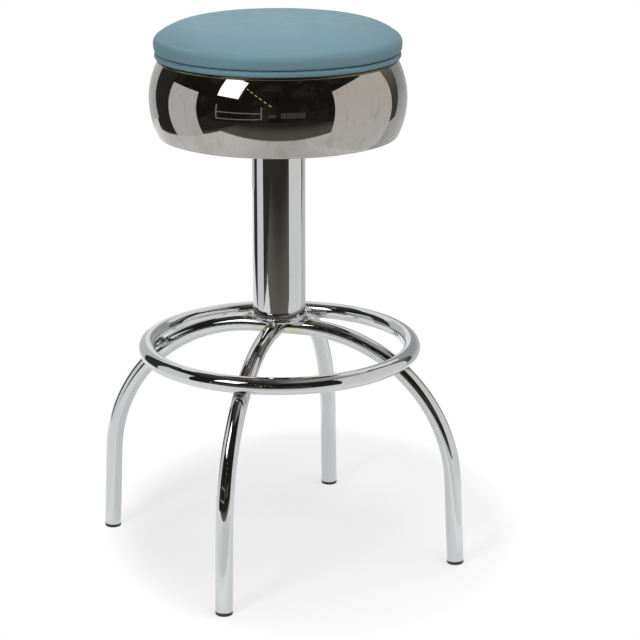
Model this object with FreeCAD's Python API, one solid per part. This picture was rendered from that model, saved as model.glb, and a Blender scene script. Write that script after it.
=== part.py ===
import FreeCAD, Part
import os
from math import asin, cos, degrees, radians, sin, sqrt

# Diner counter stool with a swivelling seat, in millimetres.
# Z is up, the floor is z = 0, and the swivel axis is x = y = 0.
# The four legs point along +X (right), +Y (back), -X (left) and -Y (front).

# Chrome tube of the legs and of the foot ring
leg_tube_radius = 12.5
leg_tube_wall = 1.5
ring_tube_radius = 12.5
ring_tube_wall = 1.5

# Legs: a level run from the axis, one bend, and a shank that leans out to the foot
leg_height = 349.5
leg_run = 36.4
leg_bend_radius = 232.0
leg_lean = 2.7

# Foot ring, laid on the outside of the four bends
ring_radius = 197.4
weld_gap = 0.1
ring_weld_radius = 8.5

# Foot caps, pushed into the open ends of the legs
cap_head_height = 5.0
cap_edge_radius = 2.0
cap_trim_allowance = 0.1
cap_core_radius = 8.5
cap_plug_length = 18.0
cap_rib_height = 1.6
cap_rib_count = 4
cap_fit = 0.05

# Hub plate and column
hub_plate_radius = 42.0
hub_plate_thickness = 5.0
hub_weld_radius = 7.0
column_radius = 39.0
column_wall = 2.0
column_length = 345.0
column_weld_height = 4.0
column_weld_rim = 0.5
top_cap_thickness = 5.0
top_cap_spigot = 4.0
top_cap_fit = 0.1

# Bearing housing and its two bushes
spindle_radius = 11.0
running_fit = 0.05
bush_wall = 3.9
bush_fit = 0.02
bush_length = 25.0
bush_flange_radius = 18.5
bush_flange_thickness = 2.5
housing_wall = 4.0
housing_length = 117.0

# Thrust bearing between the column and the seat
race_inner_radius = 20.5
race_outer_radius = 32.0
race_thickness = 3.0
ball_radius = 3.0
ball_count = 16
groove_depth = 1.2
ball_fit = 0.1
cage_thickness = 2.2
cage_margin = 1.5

# Spindle, collar and the parts that keep the seat on
collar_flange_thickness = 5.0
collar_boss_radius = 20.0
collar_height = 21.7
collar_weld_size = 4.0
press_fit = 0.02
washer_thickness = 2.0
clip_thickness = 1.5
clip_depth = 1.0
clip_reach = 3.5
clip_mouth = 12.0
clip_fit = 0.1
spindle_tail = 8.0

# Seat plate, bolts, washers and tee nuts
plate_half_width = 90.0
plate_corner_radius = 18.0
plate_thickness = 4.0
bolt_half_spacing = 70.0
bolt_radius = 4.0
bolt_hole_fit = 0.5
bolt_length = 15.0
bolt_head_flats = 13.0
bolt_head_height = 5.3
washer_radius = 8.0
bolt_washer_thickness = 1.6
tee_flange_radius = 10.0
tee_flange_thickness = 1.5
tee_barrel_radius = 5.0
tee_barrel_length = 9.0
thread_fit = 0.1

# Plywood seat board, foam pad and vinyl cover
board_radius = 167.0
board_thickness = 12.0
skin = 1.0
soft_gap = 0.1
pad_overhang = 11.9
rim_height = 20.7
rim_radius = 14.0
shoulder_radius = 90.0
crown_radius = 1650.0
crown_top = 55.0
crease_drop = 10.0
tuck_height = 9.2
hem_width = 29.0

# Staples that hold the hem under the board
staple_count = 24
staple_inset = 23.0
staple_width = 10.0
staple_depth = 6.0
staple_wire = 0.6

# Piping around the foot of the cushion
piping_radius = 4.6
piping_wall = 1.2
piping_gap = 0.3

# Chrome bowl: a curved band with a rolled lip above and a turned hem below
bowl_sheet = 1.2
lip_bead_radius = 1.9
lip_reach = 5.4
upper_height = 55.6
upper_bulge = 14.45
lower_height = 55.0
lower_bulge = 13.2
lower_corner_radius = 3.5
flange_lap = 15.0
hem_reach = 12.0
hem_lip_height = 5.0

# Screws that hold the bowl under the board
screw_count = 8
screw_inset = 7.0
screw_head_radius = 4.0
screw_head_flat = 2.4
screw_head_height = 2.4
screw_radius = 1.9
screw_length = 11.0
screw_tip = 2.0
screw_hole_fit = 0.3
screw_thread_fit = 0.02

LEG_SIDES = {"right": 0, "back": 90, "left": 180, "front": 270}
AXIS = FreeCAD.Vector(0, 0, 1)
ORIGIN = FreeCAD.Vector(0, 0, 0)
FAR = 1000.0


def at(r, z):
    return FreeCAD.Vector(r, 0, z)


def line(start, end):
    return Part.LineSegment(start, end).toShape()


def arc(centre, radius, first, last):
    """Arc in the XZ plane between two angles in degrees, counted up from the horizontal."""
    angles = [radians(a) for a in (first, (first + last) / 2, last)]
    points = [centre + at(radius * cos(a), radius * sin(a)) for a in angles]
    return Part.Arc(*points).toShape()


def reach_at(centre, radius, z):
    """Radius from the swivel axis at which a circle in the XZ plane reaches the height z."""
    return centre.x + sqrt(radius ** 2 - (z - centre.z) ** 2)


def turned(edges):
    return Part.Face(Part.Wire(edges)).revolve(ORIGIN, AXIS, 360)


def turned_points(points):
    corners = [at(r, z) for r, z in points]
    return Part.Face(Part.makePolygon(corners + corners[:1])).revolve(ORIGIN, AXIS, 360)


def disc(radius, z, height):
    return Part.makeCylinder(radius, height, at(0, z))


def tube(inner, outer, z, height):
    return disc(outer, z, height).cut(disc(inner, z, height))


def spun(shape, angle):
    copy = shape.copy()
    copy.rotate(ORIGIN, AXIS, angle)
    return copy


def around(shape, count, first=0.0):
    """Evenly spaced copies about the swivel axis, the first one turned by a share of a step."""
    return [spun(shape, 360 * (i + first) / count) for i in range(count)]


def without(shape, tools):
    for tool in tools:
        shape = shape.cut(tool)
    return shape


def save(name, *shapes):
    solids = [solid for shape in shapes for solid in shape.Solids]
    shape = solids[0] if len(solids) == 1 else Part.makeCompound(solids)
    if not shape.isValid():
        raise ValueError(name + " is not a valid shape")
    shape.exportStep("parts/" + name + ".step")
    print(name, len(solids), "solids", round(shape.Volume / 1000, 2), "cm3")


# Places of the legs and the foot ring
bend_centre = at(leg_run, leg_height - leg_bend_radius)
bend_angle = 90 - leg_lean
bend_end = bend_centre + at(leg_bend_radius * sin(radians(bend_angle)),
                            leg_bend_radius * cos(radians(bend_angle)))
shank_down = at(cos(radians(bend_angle)), -sin(radians(bend_angle)))
shank_length = bend_end.z / sin(radians(bend_angle))
foot = bend_end + shank_down * shank_length
ring_offset = leg_bend_radius + leg_tube_radius + weld_gap + ring_tube_radius
ring_height = bend_centre.z + sqrt(ring_offset ** 2 - (ring_radius - bend_centre.x) ** 2)

# Heights up the column
plate_bottom = leg_height + leg_tube_radius
column_bottom = plate_bottom + hub_plate_thickness
column_top = column_bottom + column_length
bearing_bottom = column_top + top_cap_thickness

# Thrust bearing
ball_circle = (race_inner_radius + race_outer_radius) / 2
ball_height = bearing_bottom + race_thickness - groove_depth + ball_fit + ball_radius
upper_race_bottom = 2 * ball_height - bearing_bottom - race_thickness
collar_bottom = upper_race_bottom + race_thickness

# Spindle bearing
bush_inner_radius = spindle_radius + running_fit
bush_outer_radius = bush_inner_radius + bush_wall
housing_inner_radius = bush_outer_radius + bush_fit
housing_outer_radius = housing_inner_radius + housing_wall
housing_bottom = bearing_bottom - housing_length
washer_top = housing_bottom - bush_flange_thickness - clip_fit
clip_top = washer_top - washer_thickness - clip_fit
spindle_bottom = clip_top - clip_thickness - spindle_tail

# Seat stack
seat_plate_bottom = collar_bottom + collar_height
board_bottom = seat_plate_bottom + plate_thickness
board_top = board_bottom + board_thickness
lip_top = board_bottom - skin - 2 * soft_gap

# Cushion
tuck_radius = board_radius + soft_gap
pad_radius = board_radius + pad_overhang
rim_centre = at(pad_radius - rim_radius, board_bottom + rim_height)
crown_centre = at(0, board_bottom + crown_top - crown_radius)

# Piping and bowl
piping_centre = at(tuck_radius + skin + piping_gap + piping_radius, lip_top + piping_gap + piping_radius)
lip_centre = at(board_radius + lip_reach, lip_top - lip_bead_radius)
bowl_radius = lip_centre.x + upper_bulge
bowl_middle = lip_centre.z - upper_height
bowl_bottom = bowl_middle - lower_height
upper_curve = (upper_height ** 2 + upper_bulge ** 2) / (2 * upper_bulge)
lower_curve = (lower_height ** 2 + lower_bulge ** 2) / (2 * lower_bulge)
upper_centre = at(bowl_radius - upper_curve, bowl_middle)
lower_centre = at(bowl_radius - lower_curve, bowl_middle)
flange_radius = board_radius - flange_lap


# Legs

def leg_rod(radius):
    """Round rod along the leg's centreline, mitred at the axis to meet its three neighbours."""
    start = at(0, leg_height)
    bend_start = at(leg_run, leg_height)
    end = bend_end + shank_down * (shank_length - cap_head_height)
    bend = arc(bend_centre, leg_bend_radius, 90, 90 - bend_angle)
    path = Part.Wire([line(start, bend_start), bend, line(bend_end, end)])
    section = Part.Wire(Part.makeCircle(radius, start, at(1, 0)))
    rod = path.makePipeShell([section], True, False)
    corners = [FreeCAD.Vector(0, 0, 0), FreeCAD.Vector(FAR, -FAR, 0), FreeCAD.Vector(FAR, FAR, 0)]
    wedge = Part.Face(Part.makePolygon(corners + corners[:1])).extrude(FreeCAD.Vector(0, 0, FAR))
    return rod.common(wedge)


def foot_cap():
    """Plastic cap with a ribbed plug, its underside cut flat on the floor."""
    trim = (leg_tube_radius - cap_edge_radius) * sin(radians(leg_lean)) + cap_trim_allowance
    edge_centre = at(leg_tube_radius - cap_edge_radius, cap_edge_radius - trim)
    plug_top = cap_head_height + cap_plug_length
    plug_radius = leg_tube_radius - leg_tube_wall - cap_fit
    cap = turned([
        line(at(0, -trim), at(edge_centre.x, -trim)),
        arc(edge_centre, cap_edge_radius, -90, 0),
        line(at(leg_tube_radius, edge_centre.z), at(leg_tube_radius, cap_head_height)),
        line(at(leg_tube_radius, cap_head_height), at(cap_core_radius, cap_head_height)),
        line(at(cap_core_radius, cap_head_height), at(cap_core_radius, plug_top)),
        line(at(cap_core_radius, plug_top), at(0, plug_top)),
        line(at(0, plug_top), at(0, -trim)),
    ])
    pitch = cap_plug_length / cap_rib_count
    for i in range(cap_rib_count):
        cap = cap.fuse(disc(plug_radius, cap_head_height + (i + 0.5) * pitch, cap_rib_height))
    cap.rotate(ORIGIN, FreeCAD.Vector(0, 1, 0), -leg_lean)
    cap.translate(foot)
    below = Part.makeBox(2 * FAR, 2 * FAR, FAR, FreeCAD.Vector(-FAR, -FAR, -FAR))
    return cap.cut(below)


leg_outside = leg_rod(leg_tube_radius)
leg = leg_outside.cut(leg_rod(leg_tube_radius - leg_tube_wall))
cap = foot_cap()

# Foot ring and its four welds
ring_outside = Part.makeTorus(ring_radius, ring_tube_radius, at(0, ring_height))
ring_inside = Part.makeTorus(ring_radius, ring_tube_radius - ring_tube_wall, at(0, ring_height))
ring = ring_outside.cut(ring_inside)
ring_out = (at(ring_radius, ring_height) - bend_centre).normalize()
ring_touch = bend_centre + ring_out * (leg_bend_radius + leg_tube_radius + weld_gap / 2)
ring_weld = without(Part.makeSphere(ring_weld_radius, ring_touch), [leg_outside, ring_outside])

# Hub plate on the four legs, with a weld at each leg
hub_plate = disc(hub_plate_radius, plate_bottom, hub_plate_thickness)
hub_weld_centre = at(hub_plate_radius, plate_bottom)
hub_weld = without(Part.makeSphere(hub_weld_radius, hub_weld_centre), [leg_outside, hub_plate])
hub_weld = hub_weld.cut(disc(hub_plate_radius + hub_weld_radius, column_bottom, hub_weld_radius))


# Column

def column_weld():
    """Weld bead around the foot of the column, on the hub plate."""
    toe = at(hub_plate_radius - column_weld_rim, column_bottom)
    crest = at(column_radius, column_bottom + column_weld_height)
    swell = at((toe.x + column_radius) / 2 + column_weld_rim, column_bottom + column_weld_height / 2)
    return turned([
        Part.Arc(toe, swell, crest).toShape(),
        line(crest, at(column_radius, column_bottom)),
        line(at(column_radius, column_bottom), toe),
    ])


column = tube(column_radius - column_wall, column_radius, column_bottom, column_length)
spigot = disc(column_radius - column_wall - top_cap_fit, column_top - top_cap_spigot, top_cap_spigot)
top_cap = disc(column_radius, column_top, top_cap_thickness).fuse(spigot).removeSplitter()
top_cap = top_cap.cut(disc(housing_outer_radius + press_fit, housing_bottom, housing_length))
housing = tube(housing_inner_radius, housing_outer_radius, housing_bottom, housing_length)


def bush(end, inward):
    """Flanged bush in one end of the housing; inward is -1 for the top end and 1 for the bottom."""
    sleeve_bottom = min(end, end + inward * bush_length)
    flange_bottom = min(end, end - inward * bush_flange_thickness)
    sleeve = tube(bush_inner_radius, bush_outer_radius, sleeve_bottom, bush_length)
    flange = tube(bush_inner_radius, bush_flange_radius, flange_bottom, bush_flange_thickness)
    return sleeve.fuse(flange).removeSplitter()


# Thrust bearing

def race(bottom):
    ring_blank = tube(race_inner_radius, race_outer_radius, bottom, race_thickness)
    groove = Part.makeTorus(ball_circle, ball_radius + ball_fit, at(0, ball_height))
    return ring_blank.cut(groove)


def ball_cage():
    inner = race_inner_radius + cage_margin
    outer = race_outer_radius - cage_margin
    cage = tube(inner, outer, ball_height - cage_thickness / 2, cage_thickness)
    pocket_foot = at(ball_circle, ball_height - ball_radius)
    pocket = Part.makeCylinder(ball_radius + 2 * ball_fit, 2 * ball_radius, pocket_foot)
    return without(cage, around(pocket, ball_count))


ball = Part.makeSphere(ball_radius, at(ball_circle, ball_height))


# Spindle, its collar and its retainers

def spindle():
    rod = disc(spindle_radius, spindle_bottom, board_bottom - spindle_bottom)
    groove_bottom = clip_top - clip_thickness - clip_fit
    groove_height = clip_thickness + 2 * clip_fit
    groove = tube(spindle_radius - clip_depth, spindle_radius + clip_depth, groove_bottom, groove_height)
    return rod.cut(groove)


def collar():
    bore = spindle_radius + press_fit
    flange = tube(bore, race_outer_radius, collar_bottom, collar_flange_thickness)
    return flange.fuse(tube(bore, collar_boss_radius, collar_bottom, collar_height)).removeSplitter()


def collar_weld():
    return turned_points([
        (collar_boss_radius, seat_plate_bottom),
        (collar_boss_radius, seat_plate_bottom - collar_weld_size),
        (collar_boss_radius + collar_weld_size, seat_plate_bottom),
    ])


def spindle_clip():
    """Open spring clip in the groove near the spindle's lower end."""
    inner = spindle_radius - clip_depth + clip_fit
    clip = tube(inner, inner + clip_reach, clip_top - clip_thickness, clip_thickness)
    mouth = Part.makeBox(FAR, clip_mouth, FAR, FreeCAD.Vector(0, -clip_mouth / 2, 0))
    return clip.cut(mouth)


washer = tube(spindle_radius + clip_fit, bush_flange_radius, washer_top - washer_thickness, washer_thickness)


# Seat plate and its bolts

def on_bolt_corners(shape):
    """Copies of a shape drawn on the Z axis, one at each corner of the bolt square."""
    copies = []
    for x in (-bolt_half_spacing, bolt_half_spacing):
        for y in (-bolt_half_spacing, bolt_half_spacing):
            copy = shape.copy()
            copy.translate(FreeCAD.Vector(x, y, 0))
            copies.append(copy)
    return copies


def seat_plate():
    width = 2 * plate_half_width
    corner = FreeCAD.Vector(-plate_half_width, -plate_half_width, seat_plate_bottom)
    plate = Part.makeBox(width, width, plate_thickness, corner)
    uprights = [e for e in plate.Edges if abs(e.tangentAt(e.FirstParameter).z) > 0.5]
    plate = plate.makeFillet(plate_corner_radius, uprights)
    bolt_hole = disc(bolt_radius + bolt_hole_fit, seat_plate_bottom, plate_thickness)
    plate = plate.cut(disc(spindle_radius + press_fit, seat_plate_bottom, plate_thickness))
    return without(plate, on_bolt_corners(bolt_hole))


def seat_bolt():
    """Hexagon bolt, head down, under its washer."""
    head_top = seat_plate_bottom - bolt_washer_thickness
    head_bottom = head_top - bolt_head_height
    across_corners = bolt_head_flats / cos(radians(30))
    corners = []
    for i in range(6):
        reach = FreeCAD.Vector(cos(radians(60 * i)), sin(radians(60 * i)), 0) * (across_corners / 2)
        corners.append(at(0, head_bottom) + reach)
    outline = Part.Face(Part.makePolygon(corners + corners[:1]))
    head = outline.extrude(FreeCAD.Vector(0, 0, bolt_head_height))
    return head.fuse(disc(bolt_radius, head_top, bolt_length)).removeSplitter()


def tee_nut():
    flange = disc(tee_flange_radius, board_top - tee_flange_thickness, tee_flange_thickness)
    barrel_bottom = board_top - tee_flange_thickness - tee_barrel_length
    nut = flange.fuse(disc(tee_barrel_radius, barrel_bottom, tee_barrel_length)).removeSplitter()
    return nut.cut(disc(bolt_radius + thread_fit, barrel_bottom, board_thickness))


bolt_washer = tube(bolt_radius + bolt_hole_fit, washer_radius, seat_plate_bottom - bolt_washer_thickness,
                   bolt_washer_thickness)


# Staples and bowl screws

def staple():
    """Flat wire staple: crown under the hem, two legs up into the board."""
    hem_bottom = lip_top + soft_gap
    r = board_radius - staple_inset
    crown = Part.makeBox(staple_wire, staple_width, staple_wire,
                         FreeCAD.Vector(r - staple_wire / 2, -staple_width / 2, hem_bottom - staple_wire))
    for y in (-staple_width / 2, staple_width / 2 - staple_wire):
        leg_corner = FreeCAD.Vector(r - staple_wire / 2, y, hem_bottom - staple_wire)
        crown = crown.fuse(Part.makeBox(staple_wire, staple_wire, staple_depth + staple_wire, leg_corner))
    return crown.removeSplitter()


def bowl_screw(shank_radius):
    head_top = lip_top - bowl_sheet
    tip = head_top + screw_length
    points = [
        (0, head_top - screw_head_height),
        (screw_head_flat, head_top - screw_head_height),
        (screw_head_radius, head_top),
        (shank_radius, head_top),
        (shank_radius, tip - screw_tip),
        (0, tip),
    ]
    screw = turned_points(points)
    screw.translate(at(board_radius - screw_inset, 0))
    return screw


screw_hole = Part.makeCylinder(screw_radius + screw_hole_fit, board_bottom - lip_top + bowl_sheet,
                               at(board_radius - screw_inset, lip_top - bowl_sheet))
staples = around(staple(), staple_count, 0.5)
screws = around(bowl_screw(screw_radius), screw_count, 0.5)
screw_holes = around(screw_hole, screw_count, 0.5)
screw_bores = around(bowl_screw(screw_radius + screw_thread_fit), screw_count, 0.5)


# Seat board, foam pad and vinyl cover

def seat_board():
    board = disc(board_radius, board_bottom, board_thickness)
    barrel_hole = disc(tee_barrel_radius + press_fit, board_bottom, board_thickness)
    recess = disc(tee_flange_radius + press_fit, board_top - tee_flange_thickness, tee_flange_thickness)
    board = without(board, on_bolt_corners(barrel_hole.fuse(recess)))
    return without(board, screw_bores + staples)


def pad_outline(inset):
    """Rim, shoulder and crown of the cushion as three tangent arcs, drawn in by an even inset.

    Gives the rim arc's radius, the angle at which it meets the shoulder, and the two upper arcs.
    """
    rim = rim_radius - inset
    shoulder = shoulder_radius - inset
    crown = crown_radius - inset
    # The shoulder's centre lies at fixed distances from the centres of the rim and the crown
    apart = rim_centre - crown_centre
    to_rim = shoulder_radius - rim_radius
    to_crown = crown_radius - shoulder_radius
    along = (to_crown ** 2 - to_rim ** 2 + apart.Length ** 2) / (2 * apart.Length)
    aside = sqrt(to_crown ** 2 - along ** 2)
    unit = FreeCAD.Vector(apart).normalize()
    shoulder_centre = crown_centre + unit * along + at(-unit.z, unit.x) * aside
    rim_way = rim_centre - shoulder_centre
    crown_way = shoulder_centre - crown_centre
    rim_angle = degrees(asin(rim_way.z / rim_way.Length))
    crown_angle = degrees(asin(crown_way.z / crown_way.Length))
    return rim, rim_angle, [
        arc(shoulder_centre, shoulder, rim_angle, crown_angle),
        arc(crown_centre, crown, crown_angle, 90),
    ]


def foam_pad():
    inset = skin + soft_gap
    rim, rim_angle, upper = pad_outline(inset)
    low_angle = degrees(asin((board_top - rim_centre.z) / rim))
    foot_radius = reach_at(rim_centre, rim, board_top)
    crown_point = crown_centre.z + crown_radius - inset
    return turned([
        line(at(0, board_top), at(foot_radius, board_top)),
        arc(rim_centre, rim, low_angle, rim_angle),
        *upper,
        line(at(0, crown_point), at(0, board_top)),
    ])


def vinyl_cover():
    """Skin over the pad, tucked in above the piping, down the board's edge and under it."""
    tuck_top = board_bottom + tuck_height
    hem_bottom = lip_top + soft_gap
    hem_end = board_radius - hem_width
    edge_inner = tuck_radius
    edge_outer = tuck_radius + skin
    crown_point = crown_centre.z + crown_radius

    rim, rim_angle, upper = pad_outline(0)
    crease = at(reach_at(rim_centre, rim, rim_centre.z - crease_drop), rim_centre.z - crease_drop)
    outer = [
        line(at(hem_end, hem_bottom), at(edge_outer, hem_bottom)),
        line(at(edge_outer, hem_bottom), at(edge_outer, tuck_top)),
        line(at(edge_outer, tuck_top), crease),
        arc(rim_centre, rim, degrees(asin(-crease_drop / rim)), rim_angle),
        *upper,
    ]
    rim, rim_angle, upper = pad_outline(skin)
    fold = at(reach_at(rim_centre, rim, tuck_top + skin), tuck_top + skin)
    fold_angle = degrees(asin((fold.z - rim_centre.z) / rim))
    inner = [
        line(at(0, crown_point), at(0, crown_point - skin)),
        *upper,
        arc(rim_centre, rim, rim_angle, fold_angle),
        line(fold, at(edge_inner, tuck_top + skin)),
        line(at(edge_inner, tuck_top + skin), at(edge_inner, hem_bottom + skin)),
        line(at(edge_inner, hem_bottom + skin), at(hem_end, hem_bottom + skin)),
        line(at(hem_end, hem_bottom + skin), at(hem_end, hem_bottom)),
    ]
    cover = turned(Part.sortEdges(outer + inner)[0])
    return without(cover, staples + screw_holes)


# Piping: a vinyl sleeve with a cord core
piping_outside = Part.makeTorus(piping_centre.x, piping_radius, at(0, piping_centre.z))
piping_bore = Part.makeTorus(piping_centre.x, piping_radius - piping_wall, at(0, piping_centre.z))
piping_core = Part.makeTorus(piping_centre.x, piping_radius - piping_wall - soft_gap, at(0, piping_centre.z))


def chrome_bowl():
    """Curved band: flange under the board, rolled lip, bulging side, rounded corner and hem."""
    # The lip bead ends where it meets the upper curve, one bead radius along it
    side_to_lip = lip_centre - upper_centre
    lip_angle = degrees(asin(side_to_lip.z / side_to_lip.Length))
    bead_step = degrees(2 * asin(lip_bead_radius / 2 / upper_curve))
    side_top = upper_centre + at(upper_curve * cos(radians(lip_angle - bead_step)),
                                 upper_curve * sin(radians(lip_angle - bead_step)))
    bead_foot = side_top - lip_centre
    bead_angle = degrees(asin(bead_foot.z / bead_foot.Length))

    # The lower corner is tangent to the lower curve and to the flat underside
    corner_z = bowl_bottom + lower_corner_radius
    corner_centre = at(reach_at(lower_centre, lower_curve - lower_corner_radius, corner_z), corner_z)
    corner_way = corner_centre - lower_centre
    corner_angle = degrees(asin(corner_way.z / corner_way.Length))

    hem_inner = corner_centre.x - hem_reach
    hem_top = bowl_bottom + hem_lip_height
    under_flange = lip_top - bowl_sheet
    upper_inside = upper_curve - bowl_sheet
    lower_inside = lower_curve - bowl_sheet
    flange_end = reach_at(upper_centre, upper_inside, under_flange)
    flange_angle = degrees(asin((under_flange - bowl_middle) / upper_inside))
    floor_z = bowl_bottom + bowl_sheet
    floor_end = reach_at(lower_centre, lower_inside, floor_z)
    floor_angle = degrees(asin((floor_z - bowl_middle) / lower_inside))

    outer = [
        line(at(flange_radius, lip_top), at(lip_centre.x, lip_top)),
        arc(lip_centre, lip_bead_radius, 90, bead_angle),
        arc(upper_centre, upper_curve, lip_angle - bead_step, 0),
        arc(lower_centre, lower_curve, 0, corner_angle),
        arc(corner_centre, lower_corner_radius, corner_angle, -90),
        line(at(corner_centre.x, bowl_bottom), at(hem_inner, bowl_bottom)),
        line(at(hem_inner, bowl_bottom), at(hem_inner, hem_top)),
    ]
    inner = [
        line(at(hem_inner, hem_top), at(hem_inner + bowl_sheet, hem_top)),
        line(at(hem_inner + bowl_sheet, hem_top), at(hem_inner + bowl_sheet, floor_z)),
        line(at(hem_inner + bowl_sheet, floor_z), at(floor_end, floor_z)),
        arc(lower_centre, lower_inside, floor_angle, 0),
        arc(upper_centre, upper_inside, 0, flange_angle),
        line(at(flange_end, under_flange), at(flange_radius, under_flange)),
        line(at(flange_radius, under_flange), at(flange_radius, lip_top)),
    ]
    return without(turned(outer + inner), screw_holes)


os.makedirs("parts", exist_ok=True)

for side, angle in LEG_SIDES.items():
    save("leg_" + side, spun(leg, angle))
    save("foot_cap_" + side, spun(cap, angle))
save("foot_ring", ring)
save("foot_ring_welds", *around(ring_weld, len(LEG_SIDES)))
save("hub_plate", hub_plate)
save("hub_plate_welds", *around(hub_weld, len(LEG_SIDES)))
save("column_tube", column)
save("column_foot_weld", column_weld())
save("column_top_cap", top_cap)
save("bearing_housing", housing)
save("upper_bush", bush(bearing_bottom, -1))
save("lower_bush", bush(housing_bottom, 1))
save("lower_race", race(bearing_bottom))
save("ball_cage", ball_cage())
save("thrust_balls", *around(ball, ball_count))

save("upper_race", race(upper_race_bottom))
save("spindle", spindle())
save("spindle_collar", collar())
save("collar_weld", collar_weld())
save("spindle_washer", washer)
save("spindle_clip", spindle_clip())
save("seat_plate", seat_plate())
save("seat_bolts", *on_bolt_corners(seat_bolt()))
save("bolt_washers", *on_bolt_corners(bolt_washer))
save("tee_nuts", *on_bolt_corners(tee_nut()))
save("seat_board", seat_board())
save("foam_pad", foam_pad())
save("vinyl_cover", vinyl_cover())
save("cover_staples", *staples)
save("seat_piping", piping_outside.cut(piping_bore))
save("piping_cord", piping_core)
save("chrome_bowl", chrome_bowl())
save("bowl_screws", *screws)

print("overall height", round(crown_centre.z + crown_radius, 2), "seat board at", round(board_bottom, 2))
print("bowl bottom", round(bowl_bottom, 2), "bowl radius", round(bowl_radius, 2))
print("foot ring height", round(ring_height, 2), "reach of the base", round(foot.x + leg_tube_radius, 2))
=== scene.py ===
from math import asin, atan2, ceil, cos, degrees, exp, pi, radians, sin, sqrt

import bmesh
import bpy
from mathutils import Matrix, Vector, noise


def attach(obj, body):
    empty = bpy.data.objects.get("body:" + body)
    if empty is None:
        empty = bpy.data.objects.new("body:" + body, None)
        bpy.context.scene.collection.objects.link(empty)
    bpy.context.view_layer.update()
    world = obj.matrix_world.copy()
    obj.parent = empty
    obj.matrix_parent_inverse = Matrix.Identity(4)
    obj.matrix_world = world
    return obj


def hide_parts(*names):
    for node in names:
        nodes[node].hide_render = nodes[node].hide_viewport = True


# Diner counter stool: looks of the pieces, the studio round them, and the camera.
# Sizes of the pieces are in millimetres, as in the part's source; the scene is in metres.

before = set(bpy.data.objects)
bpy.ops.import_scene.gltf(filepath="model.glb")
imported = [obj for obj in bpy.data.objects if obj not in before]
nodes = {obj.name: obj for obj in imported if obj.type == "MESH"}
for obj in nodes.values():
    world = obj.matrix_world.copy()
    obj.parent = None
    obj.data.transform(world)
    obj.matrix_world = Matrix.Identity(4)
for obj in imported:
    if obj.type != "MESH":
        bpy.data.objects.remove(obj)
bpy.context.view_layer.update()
scene = bpy.context.scene
MM = 0.001


# Camera

CAMERA_PLACE = (0.9267, -3.0135, 1.2918)
CAMERA_FORWARD = (-0.26416, 0.92162, -0.28440)
CAMERA_LENS = 124.28
CAMERA_SENSOR = 36.0

camera_data = bpy.data.cameras.new("camera")
camera_data.lens = CAMERA_LENS
camera_data.sensor_width = CAMERA_SENSOR
camera = bpy.data.objects.new("camera", camera_data)
camera.location = CAMERA_PLACE
camera.rotation_euler = Vector(CAMERA_FORWARD).to_track_quat("-Z", "Y").to_euler()
scene.collection.objects.link(camera)
scene.camera = camera


# Materials

class Look:
    """A material with one principled shader; its textures lie in the piece's own coordinates, in metres."""

    def __init__(self, name, colour, roughness, metallic=0.0, **sockets):
        self.material = bpy.data.materials.new(name)
        self.material.use_nodes = True
        self.tree = self.material.node_tree
        self.shader = self.tree.nodes["Principled BSDF"]
        self.shader.inputs["Base Color"].default_value = (*colour, 1)
        self.shader.inputs["Roughness"].default_value = roughness
        self.shader.inputs["Metallic"].default_value = metallic
        for socket, value in sockets.items():
            self.shader.inputs[socket.replace("_", " ")].default_value = value
        self.place = self.node("ShaderNodeTexCoord").outputs["Object"]
        self.normal = None

    def node(self, kind, inputs=None, **settings):
        made = self.tree.nodes.new(kind)
        for key, value in settings.items():
            setattr(made, key, value)
        for key, value in (inputs or {}).items():
            self.feed(made.inputs[key], value)
        return made

    def feed(self, socket, value):
        if isinstance(value, bpy.types.NodeSocket):
            self.tree.links.new(value, socket)
        else:
            socket.default_value = value

    def stretched(self, *scale):
        return self.node("ShaderNodeMapping", {"Vector": self.place, "Scale": scale}).outputs["Vector"]

    def noise(self, scale, detail=2.0, rough=0.5, place=None, distortion=0.0):
        inputs = {"Vector": place or self.place, "Scale": scale, "Detail": detail,
                  "Roughness": rough, "Distortion": distortion}
        return self.node("ShaderNodeTexNoise", inputs).outputs["Fac"]

    def cells(self, scale, feature="F1", place=None):
        inputs = {"Vector": place or self.place, "Scale": scale}
        return self.node("ShaderNodeTexVoronoi", inputs, feature=feature).outputs["Distance"]

    def math(self, operation, *values):
        made = self.node("ShaderNodeMath", operation=operation)
        for socket, value in zip(made.inputs, values):
            self.feed(socket, value)
        return made.outputs["Value"]

    def span(self, value, start, end, low=0.0, high=1.0):
        """Value from start..end mapped smoothly to low..high."""
        inputs = {"Value": value, "From Min": start, "From Max": end, "To Min": low, "To Max": high}
        return self.node("ShaderNodeMapRange", inputs, interpolation_type="SMOOTHSTEP").outputs["Result"]

    def blend(self, share, first, second):
        made = self.node("ShaderNodeMix", data_type="RGBA")
        self.feed(made.inputs[0], share)
        for socket, colour in ((made.inputs[6], first), (made.inputs[7], second)):
            self.feed(socket, colour if isinstance(colour, bpy.types.NodeSocket) else (*colour, 1))
        return made.outputs[2]

    def colour(self, value):
        self.feed(self.shader.inputs["Base Color"], value)

    def roughness(self, value):
        self.feed(self.shader.inputs["Roughness"], value)

    def bump(self, height, depth, strength=1.0):
        """Adds relief: height 0..1 stands for depth in metres."""
        inputs = {"Height": height, "Distance": depth, "Strength": strength}
        if self.normal:
            inputs["Normal"] = self.normal
        self.normal = self.node("ShaderNodeBump", inputs).outputs["Normal"]
        self.feed(self.shader.inputs["Normal"], self.normal)


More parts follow.
